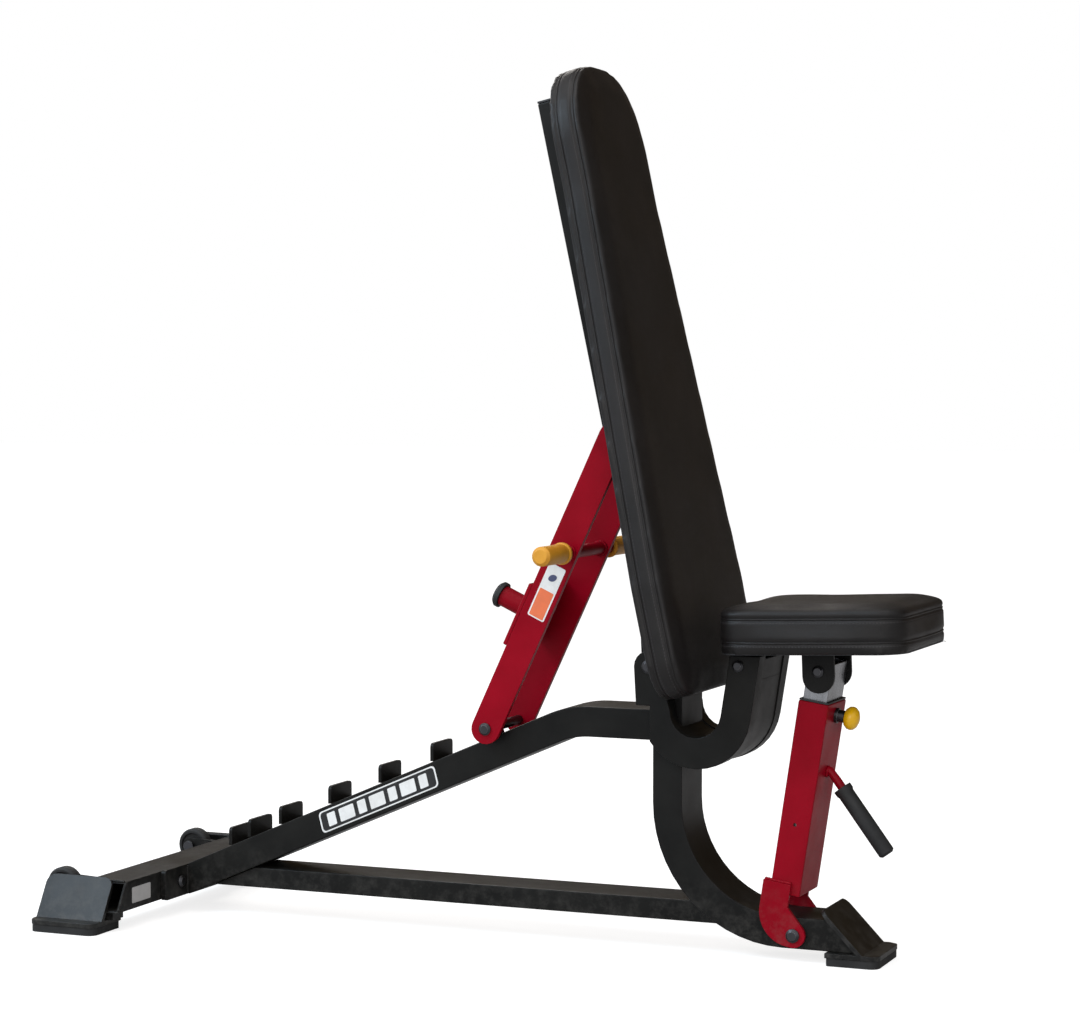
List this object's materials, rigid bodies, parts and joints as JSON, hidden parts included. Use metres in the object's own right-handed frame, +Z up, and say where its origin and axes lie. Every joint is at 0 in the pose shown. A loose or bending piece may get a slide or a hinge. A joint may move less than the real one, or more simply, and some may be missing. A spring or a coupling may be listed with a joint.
{
  "type": "adjustable weight bench",
  "caption": "Adjustable weight bench: ladder-back frame, padded backrest on a red support arm, tilting seat on a telescoping red post, carrying handle and wheels.",
  "frame": {"origin": "on the floor, under the middle of the bench's length and width", "axes": "+X towards the seat end, +Y across the bench, +Z up"},
  "size_m": [1.2731, 0.53, 1.2412],
  "materials": {
    "frame_black": "satin black powder coat",
    "post_red": "gloss crimson powder coat",
    "leather_black": "black grained vinyl",
    "board_wood": "bare plywood",
    "rubber_black": "matt",
    "grip_yellow": "satin amber",
    "steel_bright": "satin",
    "steel_dark": "black oxide",
    "plastic_black": "matt"
  },
  "bodies": {
    "frame": {"main_beam": "frame_black", "leg_tube": "frame_black", "brace_tube": "frame_black", "stabilizer_tube": "frame_black", "beam_flange": "frame_black", "foot_plate_front": "frame_black", "foot_plate_near": "frame_black", "foot_plate_far": "frame_black", "ladder_tab_1": "frame_black", "ladder_tab_2": "frame_black", "ladder_tab_3": "frame_black", "ladder_tab_4": "frame_black", "ladder_tab_5": "frame_black", "ladder_tab_6": "frame_black", "ladder_stop": "frame_black", "wheel_bracket_near": "frame_black", "wheel_bracket_far": "frame_black", "yoke_plate_near": "frame_black", "yoke_plate_far": "frame_black", "yoke_web": "frame_black", "foot_pad_front": "rubber_black", "foot_pad_near": "rubber_black", "foot_pad_far": "rubber_black", "flange_bolt_near": "steel_dark", "flange_bolt_far": "steel_dark", "wheel_bolt_near": "steel_dark", "wheel_bolt_far": "steel_dark", "back_pivot_bolt": "steel_dark", "seat_hinge_bolt": "steel_dark", "post_pivot_bolt": "steel_dark"},
    "backrest": {"back_tube": "frame_black", "back_tube_cap": "plastic_black", "back_hinge_lug": "frame_black", "back_board": "board_wood", "back_pad": "leather_black", "arm_pivot_bolt": "steel_dark"},
    "support_arm": {"arm_plate_near": "post_red", "arm_plate_far": "post_red", "arm_web": "post_red", "bumper_tube": "post_red", "bumper_cap": "rubber_black", "grip_bar": "post_red", "grip_near": "grip_yellow", "grip_far": "grip_yellow", "ladder_pin": "steel_dark"},
    "seat": {"seat_rail": "frame_black", "seat_board": "board_wood", "seat_pad": "leather_black", "seat_link_bolt": "steel_dark"},
    "seat_post": {"post_outer": "post_red", "post_guide_bush": "plastic_black", "handle_rod": "post_red", "handle_grip": "rubber_black", "plunger_housing": "steel_dark"},
    "post_slide": {"post_inner": "steel_bright"},
    "pull_pin": {"pull_knob": "grip_yellow"},
    "wheel_near": {"wheel_near": "rubber_black"},
    "wheel_far": {"wheel_far": "rubber_black"}
  },
  "joints": [
    {"name": "backrest_recline", "type": "hinge", "parent": "frame", "child": "backrest", "pos_m": [0.2565, 0, 0.4], "axis": [0, -1, 0], "range_deg": [0, 75.4]},
    {"name": "arm_swing", "type": "hinge", "parent": "backrest", "child": "support_arm", "pos_m": [0.20137, 0, 0.7165], "axis": [0, 1, 0], "range_deg": [0, 99.9]},
    {"name": "seat_tilt", "type": "hinge", "parent": "frame", "child": "seat", "pos_m": [0.3865, 0, 0.406], "axis": [0, -1, 0], "range_deg": [0, 20]},
    {"name": "post_swing", "type": "hinge", "parent": "frame", "child": "seat_post", "pos_m": [0.4595, 0, 0.037], "axis": [0, -1, 0], "range_deg": [0, 1.3]},
    {"name": "post_extend", "type": "slide", "parent": "seat_post", "child": "post_slide", "axis": [0.1495, 0, 0.9888], "range_m": [0, 0.0363]},
    {"name": "pull_pin_pull", "type": "slide", "parent": "seat_post", "child": "pull_pin", "axis": [0.9888, 0, -0.1495], "range_m": [0, 0.008], "stiffness_N_per_m": 900, "springref_m": -0.006},
    {"name": "wheel_near_spin", "type": "hinge", "parent": "frame", "child": "wheel_near", "pos_m": [-0.6105, -0.191, 0.0577], "axis": [0, 1, 0], "continuous": true},
    {"name": "wheel_far_spin", "type": "hinge", "parent": "frame", "child": "wheel_far", "pos_m": [-0.6105, 0.191, 0.0577], "axis": [0, 1, 0], "continuous": true}
  ],
  "couplings": [
    {"joint": "arm_swing", "follows": "backrest_recline", "ratio": 1.3237},
    {"joint": "post_swing", "follows": "seat_tilt", "ratio": 0.0632},
    {"joint": "post_extend", "follows": "seat_tilt", "m_per_rad": 0.1036}
  ]
}
